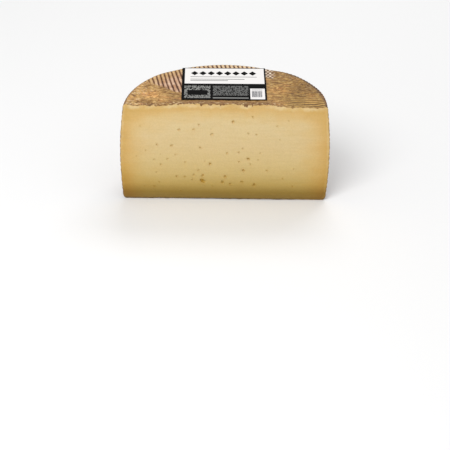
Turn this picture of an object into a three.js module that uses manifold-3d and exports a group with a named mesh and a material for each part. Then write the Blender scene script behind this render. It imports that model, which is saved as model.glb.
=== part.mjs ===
// A half wheel of firm sheep's-milk cheese, as a cheesemonger cuts it, with the paper
// label that lies on its top.
//
// The cheese is one solid: the rind and the paste grew together. Its shape is a round
// wheel with a gently bulging side and rounded rims, cut from top to bottom just short
// of its middle, so the piece is a little less than half.
//
// Frame, in millimetres: the origin is on the surface the cheese stands on, in the
// middle of the piece's footprint box. +Z is up, the cut face looks along -Y, and +X is
// to the right for someone who looks at the cut face.

import * as THREE from 'three';
import { mergeVertices } from 'three/addons/utils/BufferGeometryUtils.js';
import Module from 'manifold-3d';

// ---- driving dimensions -------------------------------------------------------------

const BELLY_RADIUS = 100; // the wheel at its widest
const WHEEL_HEIGHT = 103;
const BELLY_HEIGHT = 45; // where the side is widest
const SIDE_BULGE = 4; // how far the side draws in from the belly to the top rim
const TOP_RIM_RADIUS = 3; // rounding between the top and the side
const BASE_RIM_RADIUS = 4; // rounding between the underside and the side
const CUT_OFFSET = 5; // the cut's distance from the wheel's axis

const LABEL_WIDTH = 80.5;
const LABEL_DEPTH = 72;
const LABEL_THICKNESS = 0.3;
const LABEL_CORNER_RADIUS = 1;
const LABEL_LEFT_OF_AXIS = 1.6; // the label's middle, from the wheel's axis
const LABEL_BEHIND_AXIS = 49;
const LABEL_TURN = THREE.MathUtils.degToRad(0.7);
const CONTACT_GAP = 0.3; // between the rind and the label that lies on it

const WHEEL_SEGMENTS = 144;
const SIDE_STEPS = 10;
const RIM_STEPS = 4;
const CORNER_STEPS = 4;

// The footprint of the piece runs from the cut to the back of the belly.
const AXIS_TO_FOOTPRINT_MIDDLE = (CUT_OFFSET + BELLY_RADIUS) / 2;

// ---- materials ----------------------------------------------------------------------

const cheeseMaterial = new THREE.MeshStandardMaterial({
  color: 0xdcc490,
  roughness: 0.6,
  metalness: 0,
});

const paperMaterial = new THREE.MeshStandardMaterial({
  color: 0xe6e2dc,
  roughness: 0.45,
  metalness: 0,
});

// ---- solids: cutting one closed mesh by another --------------------------------------

const wasm = await Module();
wasm.setup();

function solidFrom(geometry) {
  const bare = geometry.clone();
  bare.deleteAttribute('normal');
  bare.deleteAttribute('uv');
  const welded = mergeVertices(bare, 1e-4);
  return new wasm.Manifold(new wasm.Mesh({
    numProp: 3,
    vertProperties: new Float32Array(welded.attributes.position.array),
    triVerts: new Uint32Array(welded.index.array),
  }));
}

function geometryFrom(solid) {
  const mesh = solid.getMesh();
  const geometry = new THREE.BufferGeometry();
  geometry.setAttribute('position', new THREE.BufferAttribute(mesh.vertProperties, 3));
  geometry.setIndex(new THREE.BufferAttribute(mesh.triVerts, 1));
  geometry.computeVertexNormals();
  return geometry;
}

// ---- the cheese ---------------------------------------------------------------------

// The side is one parabola, widest at the belly. It draws in by SIDE_BULGE at the top,
// and by less at the base, which is nearer to the belly.
function sideRadius(height) {
  const share = (height - BELLY_HEIGHT) / (WHEEL_HEIGHT - BELLY_HEIGHT);
  return BELLY_RADIUS - SIDE_BULGE * share * share;
}

// A quarter round between a flat end and the side, as profile points. The angle is
// measured at the round's centre, up from the outward direction.
function rimPoints(centreHeight, radius, fromAngle, toAngle) {
  const centreRadius = sideRadius(centreHeight) - radius;
  const points = [];
  for (let step = 0; step <= RIM_STEPS; step += 1) {
    const angle = THREE.MathUtils.lerp(fromAngle, toAngle, step / RIM_STEPS);
    const out = centreRadius + radius * Math.cos(angle);
    const up = centreHeight + radius * Math.sin(angle);
    points.push(new THREE.Vector2(out, up));
  }
  return points;
}

function sidePoints(fromHeight, toHeight) {
  const points = [];
  for (let step = 1; step < SIDE_STEPS; step += 1) {
    const height = THREE.MathUtils.lerp(fromHeight, toHeight, step / SIDE_STEPS);
    points.push(new THREE.Vector2(sideRadius(height), height));
  }
  return points;
}

// Half of the wheel's section, from the middle of the underside to the middle of the top.
function wheelProfile() {
  const baseRimHeight = BASE_RIM_RADIUS;
  const topRimHeight = WHEEL_HEIGHT - TOP_RIM_RADIUS;
  return [
    new THREE.Vector2(0, 0),
    ...rimPoints(baseRimHeight, BASE_RIM_RADIUS, -Math.PI / 2, 0),
    ...sidePoints(baseRimHeight, topRimHeight),
    ...rimPoints(topRimHeight, TOP_RIM_RADIUS, 0, Math.PI / 2),
    new THREE.Vector2(0, WHEEL_HEIGHT),
  ];
}

function wholeWheel() {
  const wheel = new THREE.LatheGeometry(wheelProfile(), WHEEL_SEGMENTS);
  wheel.rotateX(Math.PI / 2);
  return wheel;
}

// Everything in front of the cut, as a block that is cleared from the wheel.
function clearedFront() {
  const reach = 3 * BELLY_RADIUS;
  const block = new THREE.BoxGeometry(reach, reach, reach);
  block.translate(0, CUT_OFFSET - reach / 2, WHEEL_HEIGHT / 2);
  return block;
}

function cheeseHalfWheel() {
  const cut = solidFrom(wholeWheel()).subtract(solidFrom(clearedFront()));
  const cheese = new THREE.Mesh(geometryFrom(cut), cheeseMaterial);
  cheese.name = 'cheese_half_wheel';
  cheese.position.y = -AXIS_TO_FOOTPRINT_MIDDLE;
  return cheese;
}

// ---- the label ----------------------------------------------------------------------

function labelOutline() {
  const right = LABEL_WIDTH / 2 - LABEL_CORNER_RADIUS;
  const back = LABEL_DEPTH / 2 - LABEL_CORNER_RADIUS;
  const outline = new THREE.Shape();
  outline.absarc(right, back, LABEL_CORNER_RADIUS, 0, Math.PI / 2);
  outline.absarc(-right, back, LABEL_CORNER_RADIUS, Math.PI / 2, Math.PI);
  outline.absarc(-right, -back, LABEL_CORNER_RADIUS, Math.PI, 1.5 * Math.PI);
  outline.absarc(right, -back, LABEL_CORNER_RADIUS, 1.5 * Math.PI, 2 * Math.PI);
  return outline;
}

function paperLabel() {
  const sheet = new THREE.ExtrudeGeometry(labelOutline(), {
    depth: LABEL_THICKNESS,
    bevelEnabled: false,
    curveSegments: CORNER_STEPS,
  });
  const label = new THREE.Mesh(sheet, paperMaterial);
  label.name = 'paper_label';
  label.position.set(
    -LABEL_LEFT_OF_AXIS,
    LABEL_BEHIND_AXIS - AXIS_TO_FOOTPRINT_MIDDLE,
    WHEEL_HEIGHT + CONTACT_GAP,
  );
  label.rotation.z = LABEL_TURN;
  return label;
}

// ---- the object ---------------------------------------------------------------------

const group = new THREE.Group();
group.add(cheeseHalfWheel(), paperLabel());

export default group;
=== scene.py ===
"""Half of a round, firm sheep's-milk cheese, with the printed paper label on its top.

The cheese is one closed mesh: a block divided into cells, drawn out to a half wheel with
rounded rims, its rind pressed with the mould's ridges on the flats and the plait around
the side, and its cut face opened by small eyes. The label is a thin sheet that lies on
the ridges and gives a little over the rim at the back.

Shapes are worked out in millimetres around the wheel's axis: X to the right of the cut
face, Y away from it, Z up from the underside. The last step places them in the frame.
"""

import math
import random

import bmesh
import bpy
from mathutils import Matrix, Vector, noise


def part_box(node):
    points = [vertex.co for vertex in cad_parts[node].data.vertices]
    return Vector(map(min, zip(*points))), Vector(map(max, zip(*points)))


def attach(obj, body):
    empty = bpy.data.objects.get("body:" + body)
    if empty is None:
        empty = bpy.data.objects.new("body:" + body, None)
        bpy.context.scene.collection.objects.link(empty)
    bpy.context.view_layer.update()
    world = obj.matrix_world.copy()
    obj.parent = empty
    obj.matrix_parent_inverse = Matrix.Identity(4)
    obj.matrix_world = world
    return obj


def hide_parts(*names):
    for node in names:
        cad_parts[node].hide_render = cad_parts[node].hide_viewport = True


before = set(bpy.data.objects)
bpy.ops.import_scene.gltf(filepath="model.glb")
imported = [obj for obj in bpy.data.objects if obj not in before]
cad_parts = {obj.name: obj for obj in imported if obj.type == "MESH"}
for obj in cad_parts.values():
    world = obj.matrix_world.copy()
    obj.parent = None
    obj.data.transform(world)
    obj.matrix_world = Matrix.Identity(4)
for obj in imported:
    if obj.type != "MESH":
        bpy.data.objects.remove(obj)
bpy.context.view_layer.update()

# ---- sizes, in millimetres, from the frame -------------------------------------------

MM = 0.001
CHEESE_LOW, CHEESE_HIGH = (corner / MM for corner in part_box("cheese_half_wheel"))
LABEL_LOW, LABEL_HIGH = (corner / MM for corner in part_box("paper_label"))

CUT = 5.0  # the cut's distance behind the wheel's axis
AXIS_Y = CHEESE_LOW.y - CUT  # the wheel's axis in the frame
BELLY_RADIUS = CHEESE_HIGH.y - AXIS_Y
HEIGHT = CHEESE_HIGH.z
BELLY_HEIGHT = 45.0
SIDE_BULGE = 4.0  # how far the side draws in from the belly to the top rim
TOP_RIM = 3.0
BASE_RIM = 4.0
SKIN_MARGIN = 0.1  # keeps every ridge inside the frame's box
SHOULDER_SWELL = 2.9  # how far the wheel stands out on the right, near its top
ENDS_SINK = 2.2  # how far the top sinks below its crown at the two ends of the cut
REAR_SINK = 1.3
CROWN_SINK = 0.25

CELLS = (208, 104, 72)  # the mesh's cells across, front to back and up
PASTE, RIND = 0, 1  # the cheese's material slots

# ---- the mould's marks, in millimetres -----------------------------------------------

RIDGE_PITCH = 4.15
RIDGE_LEAN = math.radians(11)  # the ridges run this far off front to back
RIDGE_WANDER = 0.9
RIDGE_DEPTH = 1.1
RIDGED_FROM, RIDGED_TO = 65.0, 146.0  # the sector of the flats that is ridged, degrees
RIDGED_BEHIND = 24.0  # the ridges stop this far behind the axis
FIBRE_DEPTH = 0.7
FLAT_SWELL = 0.35
PLEAT_PITCH = 3.4  # the cloth's pleats, along the rim to the right of the cut
PLEAT_DEPTH = 0.6
FIRST_PLEAT = 3.0  # the first pleat's distance behind the cut
HATCH_PITCH = (4.2, 7.0)  # the cloth's weave beside the label, across and back
PLAIT_PITCH = 4.4
PLAIT_ROW = 12.9
PLAIT_SLOPE = 0.75
PLAIT_WANDER = 0.7
PLAIT_DEPTH = 1.3
SEAM_DEPTH = 0.5  # between the plait's rows
SIDE_SWELL = 0.5
OUTLINE_SHARE = 0.45  # how much of the plait's depth shows in the cut's outline
EDGE_SOFTENING = 3.0  # how far into the cut face the rind's outline is felt
FOOT_LIFT = 1.6  # the cut's lower edge rises by this many times the rind's dent
NOTCH_DEPTH = 1.5
FACE_WAVE, FACE_GRAIN = 0.25, 0.06  # how far the knife wandered, over long and short ways
TOP_SLICE, BASE_SLICE = 0, 40  # where the noise is read for the top and the underside

# ---- the label -----------------------------------------------------------------------

LABEL_WIDTH, LABEL_DEPTH = 80.5, 72.0
LABEL_TURN = math.radians(0.7)
LABEL_THICKNESS = 0.16
LABEL_LIFT = 0.2  # the sheet's middle, over the ridges' backs

# What is printed on the label, as boxes: left, front, right, back.
WHITE_PANEL = (2.6, 34.6, 79.0, 71.0)
LOZENGE_ROW = (8.0, 50.0, 72.0, 68.0)
PANEL_RULE = (8.0, 50.2, 72.0, 51.2)
LONG_LINE = (8.0, 44.2, 60.0, 45.6)
SHORT_LINE = (8.0, 41.0, 44.0, 42.4)
LEFT_DASHES = (2.6, 3.6, 27.2, 29.8)
LEFT_BLOCK = (5.5, 10.0, 24.4, 20.0)
MIDDLE_DASHES = (29.6, 9.2, 63.2, 30.0)
MIDDLE_RULE = (29.6, 3.0, 63.2, 5.2)
WHITE_BOX = (65.0, 1.6, 78.8, 24.4)
BOX_BARS = (66.6, 6.0, 76.4, 19.0)
BOX_RULE = (66.6, 21.0, 76.4, 22.0)
LOZENGE_MIDDLE, LOZENGE_PITCH, LOZENGE_HEIGHT = 59.5, 8.0, 11.0
DASH_PITCH = 1.9

SEED = 7


def mix(a, b, share):
    return a + (b - a) * share


def smoothstep(low, high, value):
    share = min(max((value - low) / (high - low), 0.0), 1.0)
    return share * share * (3 - 2 * share)


def ripple(x, y, z=0.0):
    """Smooth noise from about -1 to 1."""
    return 1.4 * noise.noise(Vector((x, y, z)))


# ---- the wheel's shape ---------------------------------------------------------------


def side_radius(z):
    share = (z - BELLY_HEIGHT) / (HEIGHT - BELLY_HEIGHT)
    return BELLY_RADIUS - SIDE_BULGE * share * share


def divided_block():
    """A block from -1 to 1, its six sides divided into cells. The front is paste."""
    bm = bmesh.new()
    bmesh.ops.create_cube(bm, size=2)
    for axis, cells in enumerate(CELLS):
        along = [e for e in bm.edges if abs(e.verts[0].co[axis] - e.verts[1].co[axis]) > 1]
        bmesh.ops.subdivide_edges(bm, edges=along, cuts=cells - 1, use_grid_fill=True)
    for face in bm.faces:
        front = face.calc_center_median().y < -0.9999
        face.material_index = PASTE if front else RIND
    return bm


def footprint(across, back, radius):
    """A place in the half disc of this radius, for shares of the way across and back."""
    half = math.sqrt(radius * radius - CUT * CUT)
    diagonal = radius * math.sqrt(0.5)
    side_angle = mix(math.asin(CUT / radius), math.pi / 4, back)
    rear_angle = mix(math.pi * 3 / 4, math.pi / 4, across)
    side_x, side_y = radius * math.cos(side_angle), radius * math.sin(side_angle)
    front = Vector((mix(-half, half, across), CUT))
    rear = radius * Vector((math.cos(rear_angle), math.sin(rear_angle)))
    sides = Vector((mix(-side_x, side_x, across), side_y))
    corner_x = mix(half, diagonal, back)
    corners = Vector((mix(-corner_x, corner_x, across), mix(CUT, diagonal, back)))
    return mix(front, rear, back) + sides - corners


def round_rim(co, rim, level, way):
    """Draws the sharp edge at the top (way 1) or base (way -1) in to a quarter round."""
    radius = math.hypot(co.x, co.y)
    core = side_radius(co.z) - rim
    out, up = (radius - core) / rim, (co.z - level) * way / rim
    if out <= 0 or up <= 0:
        return
    squeeze = max(out, up) / math.hypot(out, up)
    spread = (core + rim * out * squeeze) / radius
    co.x, co.y = co.x * spread, co.y * spread
    co.z = level + way * rim * up * squeeze


def swell_shoulder(co):
    """The wheel stands out a little on the right, towards its top."""
    angle = math.degrees(math.atan2(co.y, co.x))
    swell = SHOULDER_SWELL * smoothstep(0, 26, angle) * smoothstep(62, 44, angle)
    spread = 1 + swell * smoothstep(30, 95, co.z) / BELLY_RADIUS
    co.x, co.y = co.x * spread, co.y * spread


def crown_sink(x, y):
    """How far the top lies below its crown: left and right along the cut, and behind."""
    outer = smoothstep(40, 62, abs(x + 3)) * (1 - 0.4 * smoothstep(84, 96, abs(x)))
    rear = smoothstep(45, 85, y) * smoothstep(64, 44, abs(x + 5))
    ends = outer * math.exp((CUT - y) / 28)
    return ENDS_SINK * ends + REAR_SINK * rear + CROWN_SINK


def draw_out_wheel(bm):
    """Moves the block's cells out to the half wheel, its cut flat at CUT."""
    for vert in bm.verts:
        across, back, up = ((c + 1) / 2 for c in vert.co)
        z = mix(0, HEIGHT, up)
        x, y = footprint(across, back, side_radius(z) - SKIN_MARGIN)
        vert.co = Vector((x, y, z))
        round_rim(vert.co, TOP_RIM, HEIGHT - TOP_RIM, 1)
        round_rim(vert.co, BASE_RIM, BASE_RIM, -1)
        swell_shoulder(vert.co)
        vert.co.z -= crown_sink(vert.co.x, vert.co.y) * smoothstep(60, HEIGHT, z)
        if back == 0:
            vert.co.y = CUT


# ---- the rind's marks ----------------------------------------------------------------


def flat_phase(x, y):
    """Counts the ridges across a flat: whole numbers are grooves."""
    across = x * math.cos(RIDGE_LEAN) + y * math.sin(RIDGE_LEAN)
    return (across + RIDGE_WANDER * ripple(x / 28, y / 28)) / RIDGE_PITCH


def plait_phase(x, y, z):
    """Counts the strands around the side, which lean one way and the other by rows."""
    around = BELLY_RADIUS * math.atan2(y, x)
    row_share = z / PLAIT_ROW
    zigzag = abs(row_share % 2 - 1) * PLAIT_ROW * PLAIT_SLOPE
    wander = PLAIT_WANDER * ripple(around / 30, z / 20, 5)
    return (around + zigzag + wander) / PLAIT_PITCH


def ridge_share(phase):
    """0 in the groove to 1 along the ridge's back."""
    return math.sqrt(0.5 - 0.5 * math.cos(2 * math.pi * phase))


def ridged_share(x, y):
    """1 where the flat's ridges are pressed, 0 where only the cloth's fibres are."""
    angle = math.degrees(math.atan2(y, x)) + 1.8 * ripple(x / 9, y / 9, 3)
    inside = min(angle - RIDGED_FROM, RIDGED_TO - angle)
    behind = y - RIDGED_BEHIND - 3 * ripple(x / 12, 6)
    return smoothstep(-1.5, 2.5, inside) * smoothstep(0, 6, behind)


def fibre_share(x, y, z=0.0):
    """Streaks along X: 0 in a dent to 1 on the surface."""
    long_streaks = ripple(x / 15, y / 3.4, z)
    short_streaks = ripple(x / 6, y / 2.6, z + 9)
    lumps = ripple(x / 11, y / 8, z + 4)
    return min(max(0.6 + 0.35 * long_streaks + 0.3 * short_streaks + 0.25 * lumps, 0), 1)


def hatched_share(x, y, z):
    """1 on the small patch beside the label where the cloth's weave is printed."""
    if z < HEIGHT / 2:
        return 0
    fringe = 2.5 * ripple(x / 5, y / 5, 14)
    across = smoothstep(33, 37, x) * smoothstep(48, 43, x + fringe)
    return across * smoothstep(62, 68, y + 0.8 * (x - 40) + fringe)


def pleated_share(x, y):
    """1 at the front on the right, where the cloth was pleated along X."""
    return smoothstep(48, 66, x + 4 * ripple(y / 5, 7)) * smoothstep(30, 12, y)


def pleat_phase(x, y):
    """Counts the pleats behind the cut: whole numbers are grooves."""
    return (y - CUT - FIRST_PLEAT + 0.5 * ripple(x / 12, y / 6, 12)) / PLEAT_PITCH


def flat_dent(x, y, noise_slice):
    """How deep the top or the underside is pressed in."""
    rim_inset = side_radius(HEIGHT) - math.hypot(x, y)
    worn = mix(0.3, 1, smoothstep(1, 8, rim_inset))
    ridges = RIDGE_DEPTH * worn * (1 - ridge_share(flat_phase(x, y)))
    fibres = FIBRE_DEPTH * worn * (1 - fibre_share(x, y, noise_slice))
    pleats = PLEAT_DEPTH * pleated_share(x, y) * (1 - ridge_share(pleat_phase(x, y)))
    swell = FLAT_SWELL * (0.5 + 0.5 * ripple(x / 40, y / 40, noise_slice))
    return mix(fibres + pleats, ridges, ridged_share(x, y)) + swell


def side_dent(x, y, z):
    """How deep the side is pressed in."""
    worn = mix(0.3, 1, smoothstep(2, 10, min(z, HEIGHT - z)))
    strands = PLAIT_DEPTH * worn * (1 - ridge_share(plait_phase(x, y, z)))
    seam = abs((z / PLAIT_ROW + 0.5) % 1 - 0.5) * PLAIT_ROW
    seams = SEAM_DEPTH * smoothstep(1.6, 0.2, seam)
    swell = SIDE_SWELL * (0.5 + 0.5 * ripple(x / 35, y / 35, z / 35))
    return strands + seams + swell


def notch_share(x):
    """Where the knife bit small pieces out of the top rind, along X, least at the ends."""
    bites = max(ripple(x / 5.5, 11), ripple(x / 3, 21) - 0.12)
    kept = mix(0.25, 1, smoothstep(-50, -32, x) * smoothstep(90, 70, x))
    return kept * smoothstep(0.1, 0.5, bites) * smoothstep(-0.3, 0.3, ripple(x / 15, 2))


def cut_notch(x, y):
    return NOTCH_DEPTH * notch_share(x) * math.exp((CUT - y) / 2)


def side_weight(co):
    """0 on the flats to 1 on the side, turning over around the rims."""
    height = min(HEIGHT - co.z, co.z)
    inset = side_radius(co.z) - math.hypot(co.x, co.y)
    return smoothstep(-1.8, 1.8, height - inset)


def press_rind(bm):
    """Dents the rind along its own outward direction."""
    bm.normal_update()
    moves = {}
    for vert in bm.verts:
        x, y, z = vert.co
        if y < CUT + 1e-6:
            continue
        if z > HEIGHT / 2:
            flat = flat_dent(x, y, TOP_SLICE) + cut_notch(x, y)
        else:
            flat = flat_dent(x, y, BASE_SLICE)
        side = side_dent(x, y, z) * mix(OUTLINE_SHARE, 1, smoothstep(CUT, CUT + 6, y))
        dent = mix(flat, side, side_weight(vert.co))
        moves[vert] = vert.co - dent * vert.normal
    for vert, place in moves.items():
        vert.co = place


def press_cut_outline(bm):
    """Carries the rind's dents into the outline of the cut face, and waves the face."""
    for vert in bm.verts:
        x, y, z = vert.co
        if y > CUT + 1e-6:
            continue
        inset = side_radius(z) - math.hypot(x, y)
        sideways = OUTLINE_SHARE * side_dent(x, y, z) * math.exp(-max(inset, 0) / EDGE_SOFTENING)
        down = flat_dent(x, y, TOP_SLICE) + cut_notch(x, y)
        down *= math.exp((z - HEIGHT) / EDGE_SOFTENING)
        up = FOOT_LIFT * flat_dent(x, y, BASE_SLICE) * math.exp(-z / EDGE_SOFTENING)
        wave = FACE_WAVE * (1 + ripple(x / 45, z / 30, 8))
        grain = FACE_GRAIN * (1 + ripple(x / 7, z / 9, 6))
        vert.co = Vector((x - math.copysign(sideways, x), y + wave + grain, z - down + up))


# ---- the eyes in the paste -----------------------------------------------------------

# Across, up and radius of the larger eyes in the cut face.
LARGE_EYES = (
    (-21, 20, 2.1),
    (-21, 26, 1.3),
    (0.5, 25, 1.3),
    (-14, 38.5, 1.3),
    (22.5, 44.5, 1.35),
    (18, 32, 1.3),
    (-2, 19, 1.3),
    (5.5, 17, 1.0),
    (16.5, 19.5, 1.2),
    (28.5, 16.5, 1.35),
    (-29.5, 26.5, 1.0),
    (-46, 25, 0.95),
    (-25, 31.5, 1.0),
    (-29.5, 75.5, 1.0),
    (-12.5, 70.5, 1.2),
    (7.5, 84, 1.3),
    (-43.5, 75, 1.0),
    (-50.5, 58, 1.1),
    (-64.5, 59, 1.0),
    (-23.5, 56, 1.0),
    (2, 50.5, 0.95),
    (-61, 37.5, 1.0),
    (22, 72, 0.9),
    (-54.5, 43.5, 0.9),
    (-38, 24.5, 0.9),
)
SMALL_EYES = 32
SMALL_EYE_RADII = (0.45, 0.85)
EYE_SPACING = 5  # the least way from one small eye's middle to another eye's
BALL_RADIUS = 1.25  # of the ball that hollows an eye of radius 1
BALL_LUMPS = 0.22


def eye_places():
    """The large eyes, then small ones scattered clear of them and of the rind."""
    chance = random.Random(SEED)
    places = list(LARGE_EYES)
    while len(places) < len(LARGE_EYES) + SMALL_EYES:
        x, z = chance.uniform(-88, 88), chance.uniform(9, 90)
        radius = chance.uniform(*SMALL_EYE_RADII)
        if all(math.hypot(x - px, z - pz) > EYE_SPACING for px, pz, _ in places):
            places.append((x, z, radius))
    return places


def eye_cutters(places):
    """Lumpy little balls that dip into the cut face, as one mesh."""
    chance = random.Random(SEED + 1)
    bm = bmesh.new()
    for x, z, radius in places:
        detail = 3 if radius > 1 else 2
        made = bmesh.ops.create_icosphere(bm, subdivisions=detail, radius=BALL_RADIUS)
        ball = made["verts"]
        turn = Matrix.Rotation(chance.uniform(0, math.pi), 3, "Y")
        stretch = Vector((chance.uniform(0.95, 1.35), 0.95, chance.uniform(0.75, 1.0)))
        for vert in ball:
            lump = 1 + BALL_LUMPS * ripple(*(vert.co * 1.3 + Vector((x, 0, z))))
            vert.co = turn @ (vert.co * stretch * lump * radius)
        bmesh.ops.translate(bm, verts=ball, vec=(x, CUT + 0.3 - 0.4 * radius, z))
    return mesh_object("eye_cutters", bm)


def eye_halo(co, places):
    """1 at an eye to 0 away from it, on the cut face."""
    if co.y > CUT + 1:
        return 0
    gap = min(math.hypot(co.x - x, co.z - z) / radius for x, z, radius in places)
    return smoothstep(2.1, 0.9, gap)


# ---- from mesh to piece --------------------------------------------------------------


def mesh_object(name, bm):
    mesh = bpy.data.meshes.new(name)
    bm.to_mesh(mesh)
    bm.free()
    piece = bpy.data.objects.new(name, mesh)
    bpy.context.scene.collection.objects.link(piece)
    return piece


def cut_away(piece, cutters):
    """Subtracts the cutters from the piece for good, and removes them."""
    tool = piece.modifiers.new("cut", "BOOLEAN")
    tool.operation = "DIFFERENCE"
    tool.solver = "EXACT"
    tool.object = cutters
    ready = piece.evaluated_get(bpy.context.evaluated_depsgraph_get())
    carved = bpy.data.meshes.new_from_object(ready)
    piece.modifiers.clear()
    piece.data = carved
    bpy.data.objects.remove(cutters)


def place_in_frame(mesh):
    mesh.transform(Matrix.Translation((0, AXIS_Y * MM, 0)) @ Matrix.Scale(MM, 4))


def soften(mesh, limit):
    """Smooth shading, with the edges that turn further than the limit left sharp."""
    mesh.shade_smooth()
    mesh.set_sharp_from_angle(angle=limit)


def store(mesh, name, values):
    mesh.attributes.new(name, "FLOAT", "POINT").data.foreach_set("value", values)


def record_marks(mesh, eyes):
    """Stores what the finishes follow: the marks' counts, their zones, the rind's depth."""
    places = [vert.co for vert in mesh.vertices]
    store(mesh, "flat_phase", [flat_phase(p.x, p.y) for p in places])
    store(mesh, "pleat_phase", [pleat_phase(p.x, p.y) for p in places])
    store(mesh, "plait_phase", [plait_phase(*p) for p in places])
    store(mesh, "ridged", [ridged_share(p.x, p.y) for p in places])
    store(mesh, "pleated", [pleated_share(p.x, p.y) for p in places])
    store(mesh, "hatched", [hatched_share(*p) for p in places])
    store(mesh, "notch", [notch_share(p.x) * math.exp((CUT - p.y) / 2.2) for p in places])
    store(mesh, "side", [side_weight(p) for p in places])
    store(mesh, "rim_inset", [side_radius(p.z) - math.hypot(p.x, p.y) for p in places])
    store(mesh, "under_top", [depth_under_top(p) for p in places])
    store(mesh, "ripeness", [ripeness(p) for p in places])
    # The pit and halo masks below carry the painted shade in and around the eyes.
    store(mesh, "hollow", [smoothstep(0.6, 1.6, p.y - CUT) for p in places])
    store(mesh, "halo", [eye_halo(p, eyes) for p in places])


def depth_under_top(co):
    """How far a place lies below the top rind over it."""
    dent = flat_dent(co.x, co.y, TOP_SLICE) + cut_notch(co.x, co.y)
    return HEIGHT - crown_sink(co.x, co.y) - dent - co.z


def ripeness(co):
    """1 by the rind to 0 in the middle. The sides dry deepest."""
    inset = max(side_radius(co.z) - math.hypot(co.x, co.y) - 1, 0)
    under = max(depth_under_top(co) - 2, 0)
    side = 0.82 * math.exp(-((inset / 15) ** 1.2))
    top = 0.85 * math.exp(-((under / 9.5) ** 1.2))
    return 1 - (1 - side) * (1 - top)


def make_cheese():
    bm = divided_block()
    draw_out_wheel(bm)
    press_rind(bm)
    press_cut_outline(bm)
    cheese = mesh_object("cheese", bm)
    cheese.data.materials.append(paste_material())
    cheese.data.materials.append(rind_material())
    eyes = eye_places()
    cut_away(cheese, eye_cutters(eyes))
    record_marks(cheese.data, eyes)
    soften(cheese.data, math.radians(50))
    place_in_frame(cheese.data)
    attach(cheese, "root")
    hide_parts("cheese_half_wheel")
    return cheese


# ---- the label -----------------------------------------------------------------------


def label_height(x, y):
    """The sheet lies on the ridges' backs and gives a little over the rim."""
    overhang = max(math.hypot(x, y) - (side_radius(HEIGHT) - TOP_RIM), 0)
    surface = HEIGHT - crown_sink(x, y) - SKIN_MARGIN
    droop = 0.05 * overhang ** 1.6
    return surface + LABEL_LIFT - droop + 0.06 * ripple(x / 15, y / 15, 2)


def put_faces_in_order(bm):
    """Sorts the faces from front to back: solidify makes its rim in no fixed order."""
    ordered = sorted(bm.faces, key=lambda face: tuple(face.calc_center_median().yxz))
    for index, face in enumerate(ordered):
        face.index = index
    bm.faces.sort()


def make_label():
    bm = bmesh.new()
    bm.loops.layers.uv.new("print")
    bmesh.ops.create_grid(bm, x_segments=60, y_segments=52, size=0.5, calc_uvs=True)
    bmesh.ops.scale(bm, verts=bm.verts, vec=(LABEL_WIDTH, LABEL_DEPTH, 1))
    bmesh.ops.rotate(bm, verts=bm.verts, matrix=Matrix.Rotation(LABEL_TURN, 3, "Z"))
    middle = (LABEL_LOW + LABEL_HIGH) / 2
    bmesh.ops.translate(bm, verts=bm.verts, vec=(middle.x, middle.y - AXIS_Y, 0))
    for vert in bm.verts:
        vert.co.z = label_height(vert.co.x, vert.co.y)
    bmesh.ops.solidify(bm, geom=bm.faces[:], thickness=-LABEL_THICKNESS)
    bmesh.ops.recalc_face_normals(bm, faces=bm.faces)
    put_faces_in_order(bm)
    label = mesh_object("label", bm)
    soften(label.data, math.radians(40))
    place_in_frame(label.data)
    label.data.materials.append(label_material())
    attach(label, "root")
    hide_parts("paper_label")
    return label


# ---- materials: a small kit ----------------------------------------------------------


def linear(red, green, blue):
    """A screen colour, 0 to 255, as the shader's linear colour."""
    parts = (c / 255 for c in (red, green, blue))
    return tuple(c / 12.92 if c < 0.04045 else ((c + 0.055) / 1.055) ** 2.4 for c in parts) + (1,)


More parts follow.
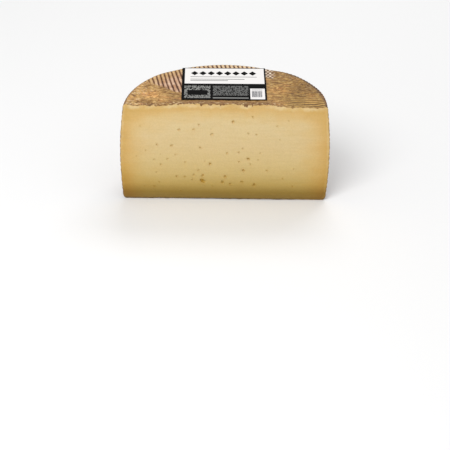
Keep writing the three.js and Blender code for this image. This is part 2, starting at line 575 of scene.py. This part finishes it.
class Finish:
    """A material with one Principled shader, and short calls for the nodes before it."""

    def __init__(self, name, roughness):
        self.material = bpy.data.materials.new(name)
        self.material.use_nodes = True
        self.tree = self.material.node_tree
        self.shader = self.tree.nodes["Principled BSDF"]
        self.shader.inputs["Roughness"].default_value = roughness

    def node(self, kind, inputs=(), **settings):
        made = self.tree.nodes.new(kind)
        for key, value in settings.items():
            setattr(made, key, value)
        for key, value in dict(inputs).items():
            self.give(made.inputs[key], value)
        return made

    def give(self, socket, value):
        if isinstance(value, bpy.types.NodeSocket):
            self.tree.links.new(value, socket)
        else:
            socket.default_value = value

    def place(self, scale=(1, 1, 1)):
        """Object coordinates, in metres, scaled."""
        source = self.node("ShaderNodeTexCoord").outputs["Object"]
        return self.node("ShaderNodeMapping", {"Vector": source, "Scale": scale}).outputs[0]

    def along(self, axis):
        """How far along X, Y or Z a place lies, in metres."""
        return self.node("ShaderNodeSeparateXYZ", {"Vector": self.place()}).outputs[axis]

    def attribute(self, name):
        return self.node("ShaderNodeAttribute", attribute_name=name).outputs["Fac"]

    def math(self, operation, first, second=0.0, third=0.0):
        made = self.node("ShaderNodeMath", operation=operation)
        for socket, value in zip(made.inputs, (first, second, third)):
            self.give(socket, value)
        return made.outputs[0]

    def noise(self, place, scale=1.0, detail=3.0, roughness=0.55):
        inputs = {"Vector": place, "Scale": scale, "Detail": detail, "Roughness": roughness}
        return self.node("ShaderNodeTexNoise", inputs).outputs["Fac"]

    def warped(self, place, scale, reach):
        """The place, pushed about by noise of this scale, by up to the reach."""
        source = self.node("ShaderNodeTexNoise", {"Vector": place, "Scale": scale})
        middle = self.node("ShaderNodeVectorMath", operation="SUBTRACT")
        self.give(middle.inputs[0], source.outputs["Color"])
        middle.inputs[1].default_value = (0.5, 0.5, 0.5)
        push = self.node("ShaderNodeVectorMath", operation="MULTIPLY_ADD")
        self.give(push.inputs[0], middle.outputs[0])
        push.inputs[1].default_value = (4 * reach, 4 * reach, 4 * reach)
        self.give(push.inputs[2], place)
        return push.outputs[0]

    def scaled(self, place, scale):
        """The place, with its three parts multiplied by the scale."""
        made = self.node("ShaderNodeVectorMath", operation="MULTIPLY")
        self.give(made.inputs[0], place)
        made.inputs[1].default_value = scale
        return made.outputs[0]

    def near(self, value, middle, reach):
        """1 where the value is the middle, to 0 at the reach away from it."""
        gap = self.math("ABSOLUTE", self.math("SUBTRACT", value, middle))
        return self.spread(gap, 0.2 * reach, reach, 1.0, 0.0)

    def spread(self, value, low, high, to_low=0.0, to_high=1.0):
        """The value's way from low to high, as one from to_low to to_high, held there."""
        inputs = {
            "Value": value,
            "From Min": low,
            "From Max": high,
            "To Min": to_low,
            "To Max": to_high,
        }
        return self.node("ShaderNodeMapRange", inputs).outputs[0]

    def ramp(self, value, stops):
        """The value as a colour, from stops of position and colour."""
        made = self.node("ShaderNodeValToRGB", {"Fac": value})
        elements = made.color_ramp.elements
        while len(elements) < len(stops):
            elements.new(0.5)
        for element, (position, colour) in zip(elements, stops):
            element.position = position
            element.color = colour
        return made.outputs["Color"]

    def blend(self, share, first, second, mode="MIX"):
        made = self.node("ShaderNodeMix", data_type="RGBA", blend_type=mode)
        self.give(made.inputs[0], share)
        self.give(made.inputs[6], first)
        self.give(made.inputs[7], second)
        return made.outputs[2]

    def bump(self, height, distance, strength=1.0, under=None):
        inputs = {"Height": height, "Distance": distance, "Strength": strength}
        if under is not None:
            inputs["Normal"] = under
        return self.node("ShaderNodeBump", inputs).outputs[0]


# ---- the paste -----------------------------------------------------------------------


def paste_material():
    """Ivory to butter-yellow paste: pale in the middle, deeper towards the rind."""
    finish = Finish("cheese_paste", roughness=0.5)
    place = finish.place()
    colour = crust_colour(finish, place, body_colour(finish, place))
    # Painted shade in and around the eyes: the paste turns darker olive around each eye, and most
    # inside its pit.
    eye = linear(176, 132, 26)
    colour = finish.blend(finish.math("MULTIPLY", finish.attribute("halo"), 0.2), colour, eye)
    colour = finish.blend(finish.math("MULTIPLY", finish.attribute("hollow"), 0.8), colour, eye)
    grain = finish.noise(place, scale=900, detail=2)
    tint = finish.ramp(grain, ((0.3, (0.94, 0.93, 0.91, 1)), (0.65, (1, 1, 1, 1))))
    colour = finish.blend(1.0, colour, tint, "MULTIPLY")
    knife = finish.noise(finish.place(scale=(34, 1, 420)), detail=4)
    drag = finish.ramp(knife, ((0.36, (0.972, 0.968, 0.95, 1)), (0.56, (1, 1, 1, 1))))
    colour = finish.blend(1.0, colour, drag, "MULTIPLY")
    finish.give(finish.shader.inputs["Base Color"], colour)
    pores = finish.noise(place, scale=1500, detail=2)
    marks = finish.bump(knife, distance=0.00012)
    finish.give(finish.shader.inputs["Normal"], finish.bump(pores, 0.0001, under=marks))
    finish.shader.inputs["Subsurface Weight"].default_value = 0.2
    finish.shader.inputs["Subsurface Radius"].default_value = (1.0, 0.75, 0.45)
    finish.shader.inputs["Subsurface Scale"].default_value = 0.002
    finish.shader.inputs["Specular IOR Level"].default_value = 0.3
    return finish.material


def body_colour(finish, place):
    """The paste's own colour, from the middle to the ripe zone by the rind."""
    wander = finish.noise(finish.scaled(place, (1, 1, 2.2)), scale=45, detail=4)
    wander = finish.spread(wander, 0.3, 0.7, -0.1, 0.1)
    return finish.ramp(
        finish.math("ADD", finish.attribute("ripeness"), wander),
        (
            (0.05, linear(220, 197, 148)),
            (0.3, linear(219, 190, 133)),
            (0.55, linear(216, 180, 115)),
            (0.8, linear(210, 171, 98)),
            (1.0, linear(204, 163, 89)),
        ),
    )


def foot_ripeness_and_painted_shade(finish, height):
    """Darkens the paste towards the underside, where the wheel stood on its board: partly painted
    shade, partly riper paste by the rind.
    """
    return finish.ramp(
        finish.math("DIVIDE", height, 0.08),
        (
            (0.03, (0.36, 0.29, 0.11, 1)),
            (0.1, (0.42, 0.34, 0.10, 1)),
            (0.21, (0.70, 0.62, 0.33, 1)),
            (0.35, (0.86, 0.81, 0.60, 1)),
            (0.51, (0.94, 0.91, 0.78, 1)),
            (0.72, (0.98, 0.96, 0.92, 1)),
            (0.98, (1, 1, 1, 1)),
        ),
    )


def crust_colour(finish, place, colour):
    """The rind's thin edge in the cut face, a dry line under it, and the darker foot, partly painted
    shade.
    """
    ragged = finish.noise(place, scale=260, detail=3)
    ragged_top = finish.spread(ragged, 0.3, 0.7, -0.9, 0.9)
    ragged_side = finish.spread(ragged, 0.3, 0.7, -0.5, 0.5)
    ragged_base = finish.spread(ragged, 0.3, 0.7, -0.8, 0)
    height = finish.along("Z")
    under_top = finish.math("ADD", finish.attribute("under_top"), ragged_top)
    under_side = finish.math("ADD", finish.attribute("rim_inset"), ragged_side)
    over_base = finish.math("MULTIPLY_ADD", height, 1 / MM, ragged_base)
    colour = dry_lines(finish, place, colour, under_top, under_side)
    # Darker foot: partly painted shade, partly riper paste near the rind.
    colour = finish.blend(1.0, colour, foot_ripeness_and_painted_shade(finish, height), "MULTIPLY")
    side_edge = finish.spread(under_side, 0.5, 1.3, 0.85, 0.0)
    colour = finish.blend(side_edge, colour, linear(142, 116, 82))
    foot_edge = finish.spread(over_base, 0.5, 1.6, 0.8, 0.0)
    colour = finish.blend(foot_edge, colour, linear(106, 90, 64))
    notches = finish.spread(finish.attribute("notch"), 0.1, 0.7, 0.0, 0.8)
    reach = finish.math("ADD", notches, 0.1)
    bitten = finish.spread(finish.math("SUBTRACT", under_top, reach), -0.1, 0.5, 0.85, 0.0)
    return finish.blend(bitten, colour, linear(106, 64, 32))


def dry_lines(finish, place, colour, under_top, under_side):
    """Pale lines in the cut face, where the paste dried just under the rind."""
    dryness = finish.spread(finish.noise(place, scale=90, detail=3), 0.38, 0.6, 0.3, 1.0)
    side_dry = finish.math("MULTIPLY", finish.near(under_side, 1.8, 1.8), 0.4)
    colour = finish.blend(finish.math("MULTIPLY", side_dry, dryness), colour, linear(224, 202, 156))
    top_dry = finish.math("MULTIPLY", finish.near(under_top, 1.8, 3.4), 0.7)
    return finish.blend(finish.math("MULTIPLY", top_dry, dryness), colour, linear(230, 206, 156))


# ---- the rind ------------------------------------------------------------------------


def ridge_profile(finish, phase):
    """0 in the groove to 1 along the ridge's back, from the marks' count."""
    turn = finish.math("MULTIPLY", phase, math.pi)
    return finish.math("ABSOLUTE", finish.math("SINE", turn))


def ridged_colour(finish):
    """Pale dry ridges, golden towards the rim, with dark brown grooves between them, and a painted
    highlight on the crests near the back rim.
    """
    profile = ridge_profile(finish, finish.attribute("flat_phase"))
    bloom = finish.spread(finish.noise(finish.place(), scale=110, detail=4), 0.36, 0.62)
    crest = finish.blend(bloom, linear(190, 142, 104), linear(226, 194, 166))
    left = finish.spread(finish.along("X"), -0.028, -0.042, 0.25, 1.0)
    golden = finish.math("MULTIPLY", finish.spread(finish.attribute("rim_inset"), 20, 5), left)
    crest = finish.blend(finish.math("MULTIPLY", golden, 0.8), crest, linear(204, 168, 108))
    # Painted highlight: the crests turn paler towards the back rim, where light grazes them.
    pale = finish.spread(finish.along("Y"), 0.026, 0.036, 0.0, 0.5)
    crest = finish.blend(pale, crest, linear(232, 212, 170))
    wall = finish.blend(bloom, linear(74, 40, 24), linear(108, 64, 36))
    wall = finish.blend(finish.math("MULTIPLY", golden, 0.5), wall, linear(124, 84, 44))
    broken = finish.noise(finish.place(scale=(800, 160, 1)), detail=3)
    height = finish.math("MULTIPLY_ADD", broken, 0.9, profile)
    return finish.blend(finish.spread(height, 0.8, 1.3), wall, crest)


def fibrous_colour(finish):
    """Golden-brown rind: short fibre streaks, ochre, olive and orange patches, creases."""
    place = finish.warped(finish.place(), scale=48, reach=0.0026)
    strands = finish.noise(finish.scaled(place, (200, 460, 1)), detail=6, roughness=0.72)
    colour = finish.ramp(
        strands,
        (
            (0.34, linear(104, 68, 34)),
            (0.42, linear(148, 108, 58)),
            (0.49, linear(182, 142, 86)),
            (0.57, linear(206, 168, 106)),
            (0.66, linear(236, 206, 150)),
        ),
    )
    patches = finish.noise(finish.place(scale=(1, 1.3, 1)), scale=42, detail=5)
    tint = finish.ramp(
        patches,
        (
            (0.36, (0.62, 0.55, 0.42, 1)),
            (0.45, (0.92, 0.88, 0.78, 1)),
            (0.55, (1.12, 1.08, 0.98, 1)),
            (0.66, (1.26, 1.10, 0.96, 1)),
        ),
    )
    colour = finish.blend(1.0, colour, tint, "MULTIPLY")
    blush = finish.noise(finish.place(scale=(1, 1.6, 1)), scale=95, detail=5)
    blush = finish.spread(blush, 0.56, 0.7, 0.0, 0.6)
    colour = finish.blend(blush, colour, linear(206, 144, 88))
    flecks = finish.noise(finish.scaled(place, (1, 1.7, 1)), scale=380, detail=2)
    flecks = finish.spread(flecks, 0.56, 0.66, 0.0, 0.75)
    dry_rim = finish.spread(finish.attribute("rim_inset"), 22, 8, 0.2, 1.0)
    flecks = finish.math("MULTIPLY", flecks, dry_rim)
    colour = finish.blend(flecks, colour, linear(228, 200, 166))
    # Darker towards the right of the top, as a plain gradient along X.
    darker_right = finish.spread(finish.along("X"), 0.02, 0.07)
    colour = finish.blend(darker_right, colour, (0.64, 0.60, 0.44, 1), "MULTIPLY")
    crease = finish.noise(finish.scaled(place, (90, 300, 1)), detail=3)
    crease = finish.math("MULTIPLY", finish.near(crease, 0.46, 0.02), 0.6)
    return finish.blend(crease, colour, linear(84, 50, 26))


def bruised_colour(finish, colour):
    """Dark, reddish spots along the cut, where the knife dragged the rind, and crumbs."""
    behind = finish.math("MULTIPLY_ADD", finish.along("Y"), 1 / MM, -CHEESE_LOW.y)
    middle = finish.spread(finish.math("ABSOLUTE", finish.along("X")), 0.055, 0.04)
    shade = finish.math("MULTIPLY", finish.spread(behind, 12, 5, 0.0, 0.75), middle)
    colour = finish.blend(shade, colour, linear(122, 90, 54))
    edge = finish.spread(behind, 6, 3)
    spots = finish.noise(finish.place(scale=(230, 340, 1)), detail=3)
    spots = finish.math("MULTIPLY", finish.spread(spots, 0.5, 0.62), edge)
    colour = finish.blend(finish.math("MULTIPLY", spots, 0.8), colour, linear(98, 58, 30))
    crumbs = finish.noise(finish.place(scale=(1, 1.4, 1)), scale=330, detail=2)
    crumbs = finish.math("MULTIPLY", finish.spread(crumbs, 0.56, 0.64), edge)
    return finish.blend(finish.math("MULTIPLY", crumbs, 0.7), colour, linear(224, 196, 150))


def pleated_colour(finish, colour):
    """Dark lines in the cloth's pleats."""
    profile = ridge_profile(finish, finish.attribute("pleat_phase"))
    broken = finish.noise(finish.place(scale=(90, 300, 1)), detail=2)
    lines = finish.spread(finish.math("MULTIPLY_ADD", broken, 0.8, profile), 0.8, 1.25, 1.0, 0.0)
    lines = finish.math("MULTIPLY", lines, finish.attribute("pleated"))
    crests = finish.math("MULTIPLY", finish.attribute("pleated"), 0.6)
    colour = finish.blend(crests, colour, linear(214, 174, 98))
    return finish.blend(lines, colour, linear(76, 44, 20))


def hatched_colour(finish, colour):
    """Pale dots in slanting rows, where the cloth's weave came off on the rind."""
    across_turns, back_turns = (2 * math.pi / (pitch * MM) for pitch in HATCH_PITCH)
    across = finish.math("SINE", finish.math("MULTIPLY", finish.along("X"), across_turns))
    back = finish.math("SINE", finish.math("MULTIPLY", finish.along("Y"), back_turns))
    dots = finish.spread(finish.math("MULTIPLY", across, back), -0.35, 0.5)
    cloth = finish.blend(dots, linear(104, 72, 46), linear(240, 222, 200))
    worn = finish.spread(finish.noise(finish.place(), scale=260, detail=3), 0.4, 0.58, 0.6, 1.0)
    worn = finish.math("MULTIPLY", worn, finish.attribute("hatched"))
    return finish.blend(worn, colour, cloth)


def side_colour(finish):
    """The side: brown plait, orange where it was rubbed, grey-pink where it bloomed."""
    profile = ridge_profile(finish, finish.attribute("plait_phase"))
    patches = finish.noise(finish.place(), scale=38, detail=5, roughness=0.6)
    strand = finish.ramp(
        patches,
        (
            (0.36, linear(170, 140, 120)),
            (0.45, linear(140, 104, 72)),
            (0.57, linear(150, 108, 64)),
            (0.68, linear(190, 130, 66)),
        ),
    )
    fuzz = finish.noise(finish.place(), scale=330, detail=5, roughness=0.75)
    tint = finish.ramp(fuzz, ((0.36, (0.5, 0.44, 0.38, 1)), (0.6, (1.2, 1.17, 1.12, 1))))
    strand = finish.blend(1.0, strand, tint, "MULTIPLY")
    height = finish.math("DIVIDE", finish.along("Z"), MM)
    seam = finish.spread(finish.math("PINGPONG", height, PLAIT_ROW / 2), 0.4, 2.2)
    uneven = finish.noise(finish.place(), scale=120, detail=3)
    relief = finish.math("MULTIPLY_ADD", fuzz, 0.5, finish.math("MULTIPLY", profile, seam))
    relief = finish.math("ADD", relief, finish.spread(uneven, 0.3, 0.7, -0.3, 0.3))
    return finish.blend(finish.spread(relief, 0.3, 1.1), linear(58, 36, 24), strand)


def rind_material():
    """The rind: its flats' zones one over another, then the side, then dust and grain."""
    finish = Finish("cheese_rind", roughness=0.62)
    flat = bruised_colour(finish, fibrous_colour(finish))
    flat = finish.blend(finish.attribute("ridged"), flat, ridged_colour(finish))
    flat = hatched_colour(finish, pleated_colour(finish, flat))
    notches = finish.math("MULTIPLY", finish.attribute("notch"), 0.85)
    flat = finish.blend(notches, flat, linear(92, 54, 28))
    rubbed = finish.spread(finish.attribute("side"), 0.02, 0.35, 0.0, 0.75)
    flat = finish.blend(rubbed, flat, linear(112, 90, 62))
    side = finish.spread(finish.attribute("side"), 0.3, 0.8)
    colour = finish.blend(side, flat, side_colour(finish))
    speck = finish.noise(finish.place(), scale=520, detail=3, roughness=0.7)
    dust = finish.ramp(speck, ((0.34, (0.6, 0.52, 0.44, 1)), (0.48, (1, 1, 1, 1))))
    colour = finish.blend(0.8, colour, dust, "MULTIPLY")
    finish.give(finish.shader.inputs["Base Color"], colour)
    fibre = finish.noise(finish.place(scale=(130, 800, 300)), detail=4, roughness=0.6)
    fine = finish.bump(fibre, distance=0.0006, strength=0.8)
    grain = finish.noise(finish.place(), scale=1100, detail=2)
    finish.give(finish.shader.inputs["Normal"], finish.bump(grain, 0.0002, 0.6, fine))
    finish.shader.inputs["Specular IOR Level"].default_value = 0.3
    return finish.material


# ---- the label's print ---------------------------------------------------------------


def printed_box(finish, x, y, box):
    """1 inside the box (left, front, right, back), in millimetres on the label."""
    left, front, right, back = box
    across = finish.math("COMPARE", x, (left + right) / 2, (right - left) / 2)
    along = finish.math("COMPARE", y, (front + back) / 2, (back - front) / 2)
    return finish.math("MULTIPLY", across, along)


def printed_dashes(finish, x, y):
    """Rows of short dashes of chance length."""
    count = finish.math("DIVIDE", y, DASH_PITCH)
    row = finish.math("FLOOR", count)
    inked = finish.math("LESS_THAN", finish.math("SUBTRACT", count, row), 0.55)
    place = finish.node("ShaderNodeCombineXYZ", {"X": x, "Y": finish.math("MULTIPLY", row, 7.3)})
    runs = finish.noise(place.outputs[0], scale=1.1, detail=1)
    return finish.math("MULTIPLY", inked, finish.math("GREATER_THAN", runs, 0.46))


def printed_bars(finish, x):
    """Plain bars of chance width, side by side along X."""
    place = finish.node("ShaderNodeCombineXYZ", {"X": x})
    return finish.math("GREATER_THAN", finish.noise(place.outputs[0], 1.9, 0), 0.45)


def printed_lozenges(finish, x, y):
    """A row of plain lozenges along X."""
    count = finish.math("DIVIDE", x, LOZENGE_PITCH)
    share = finish.math("SUBTRACT", count, finish.math("FLOOR", count))
    out = finish.math("ABSOLUTE", finish.math("SUBTRACT", share, 0.5))
    reach = finish.math("MULTIPLY_ADD", out, -LOZENGE_HEIGHT, 0.46 * LOZENGE_HEIGHT)
    away = finish.math("ABSOLUTE", finish.math("SUBTRACT", y, LOZENGE_MIDDLE))
    return finish.math("GREATER_THAN", reach, away)


def printed_colour(finish, x, y):
    """The label's print, box over box, on black."""
    ink, white = linear(6, 5, 5), linear(234, 231, 229)
    light_grey, grey, dark_grey = linear(172, 172, 168), linear(132, 132, 130), linear(104, 104, 108)
    dashes = printed_dashes(finish, x, y)
    prints = (
        (WHITE_PANEL, white, 1.0),
        (LOZENGE_ROW, ink, printed_lozenges(finish, x, y)),
        (PANEL_RULE, ink, 1.0),
        (LONG_LINE, grey, 1.0),
        (SHORT_LINE, grey, 1.0),
        (LEFT_DASHES, light_grey, dashes),
        (LEFT_BLOCK, ink, 1.0),
        (MIDDLE_DASHES, grey, dashes),
        (MIDDLE_RULE, grey, 1.0),
        (WHITE_BOX, white, 1.0),
        (BOX_BARS, dark_grey, printed_bars(finish, x)),
        (BOX_RULE, dark_grey, 1.0),
    )
    colour = ink
    for box, tone, pattern in prints:
        share = finish.math("MULTIPLY", printed_box(finish, x, y, box), pattern)
        colour = finish.blend(share, colour, tone)
    return colour


def label_material():
    """White paper with a black frame and band, grey dashed panels and a barred box."""
    finish = Finish("label_print", roughness=0.6)
    finish.shader.inputs["Specular IOR Level"].default_value = 0.04
    uv = finish.node("ShaderNodeUVMap", uv_map="print").outputs[0]
    size = (LABEL_WIDTH, LABEL_DEPTH, 1)
    print_place = finish.node("ShaderNodeMapping", {"Vector": uv, "Scale": size})
    split = finish.node("ShaderNodeSeparateXYZ", {"Vector": print_place.outputs[0]})
    colour = printed_colour(finish, split.outputs["X"], split.outputs["Y"])
    finish.give(finish.shader.inputs["Base Color"], colour)
    pulp = finish.noise(finish.place(), scale=1400, detail=2)
    finish.give(finish.shader.inputs["Normal"], finish.bump(pulp, 0.00003, 0.5))
    return finish.material


# ---- floor, light and camera, in metres ----------------------------------------------

FLOOR_DROP = 0.0001  # keeps the floor clear of the underside
SKY_STRENGTH = 0.5
CAMERA_PLACE = (0.001, -1.3605, 0.76)
CAMERA_DOWN = math.radians(31.0)
CAMERA_ROLL = math.radians(0.7)
CAMERA_SENSOR, CAMERA_LENS = 36, 125.6  # in millimetres


def make_floor():
    bm = bmesh.new()
    bmesh.ops.create_grid(bm, x_segments=1, y_segments=1, size=3)
    bmesh.ops.translate(bm, verts=bm.verts, vec=(0, 0, -FLOOR_DROP))
    floor = mesh_object("floor", bm)
    finish = Finish("studio_floor", roughness=0.8)
    finish.shader.inputs["Base Color"].default_value = (0.86, 0.86, 0.86, 1)
    floor.data.materials.append(finish.material)


def make_softbox(name, place, target, size, power):
    """A rectangular lamp that faces the target."""
    light = bpy.data.lights.new(name, "AREA")
    light.shape = "RECTANGLE"
    light.size, light.size_y = size
    light.energy = power
    lamp = bpy.data.objects.new(name, light)
    bpy.context.scene.collection.objects.link(lamp)
    facing = (Vector(target) - Vector(place)).to_track_quat("-Z", "Y")
    lamp.matrix_world = Matrix.Translation(place) @ facing.to_matrix().to_4x4()


def make_lights():
    """Even air light, a key from the front left and a weaker lamp from behind."""
    world = bpy.data.worlds.new("studio_air")
    world.use_nodes = True
    sky = world.node_tree.nodes["Background"].inputs
    sky["Color"].default_value = (1, 1, 1, 1)
    sky["Strength"].default_value = SKY_STRENGTH
    bpy.context.scene.world = world
    middle = (0, 0, 0.05)
    make_softbox("key", (-0.5, -1.0, 1.3), middle, (0.9, 0.9), 17)
    make_softbox("back", (0.3, 1.0, 1.4), middle, (1.2, 0.6), 10)


def make_camera():
    camera = bpy.data.objects.new("camera", bpy.data.cameras.new("camera"))
    camera.data.sensor_width = CAMERA_SENSOR
    camera.data.lens = CAMERA_LENS
    look_down = Matrix.Rotation(math.pi / 2 - CAMERA_DOWN, 4, "X")
    roll = Matrix.Rotation(CAMERA_ROLL, 4, "Z")
    camera.matrix_world = Matrix.Translation(CAMERA_PLACE) @ look_down @ roll
    bpy.context.scene.collection.objects.link(camera)
    bpy.context.scene.camera = camera


bpy.context.scene.view_settings.view_transform = "Standard"
make_camera()
make_lights()
make_floor()
make_cheese()
make_label()
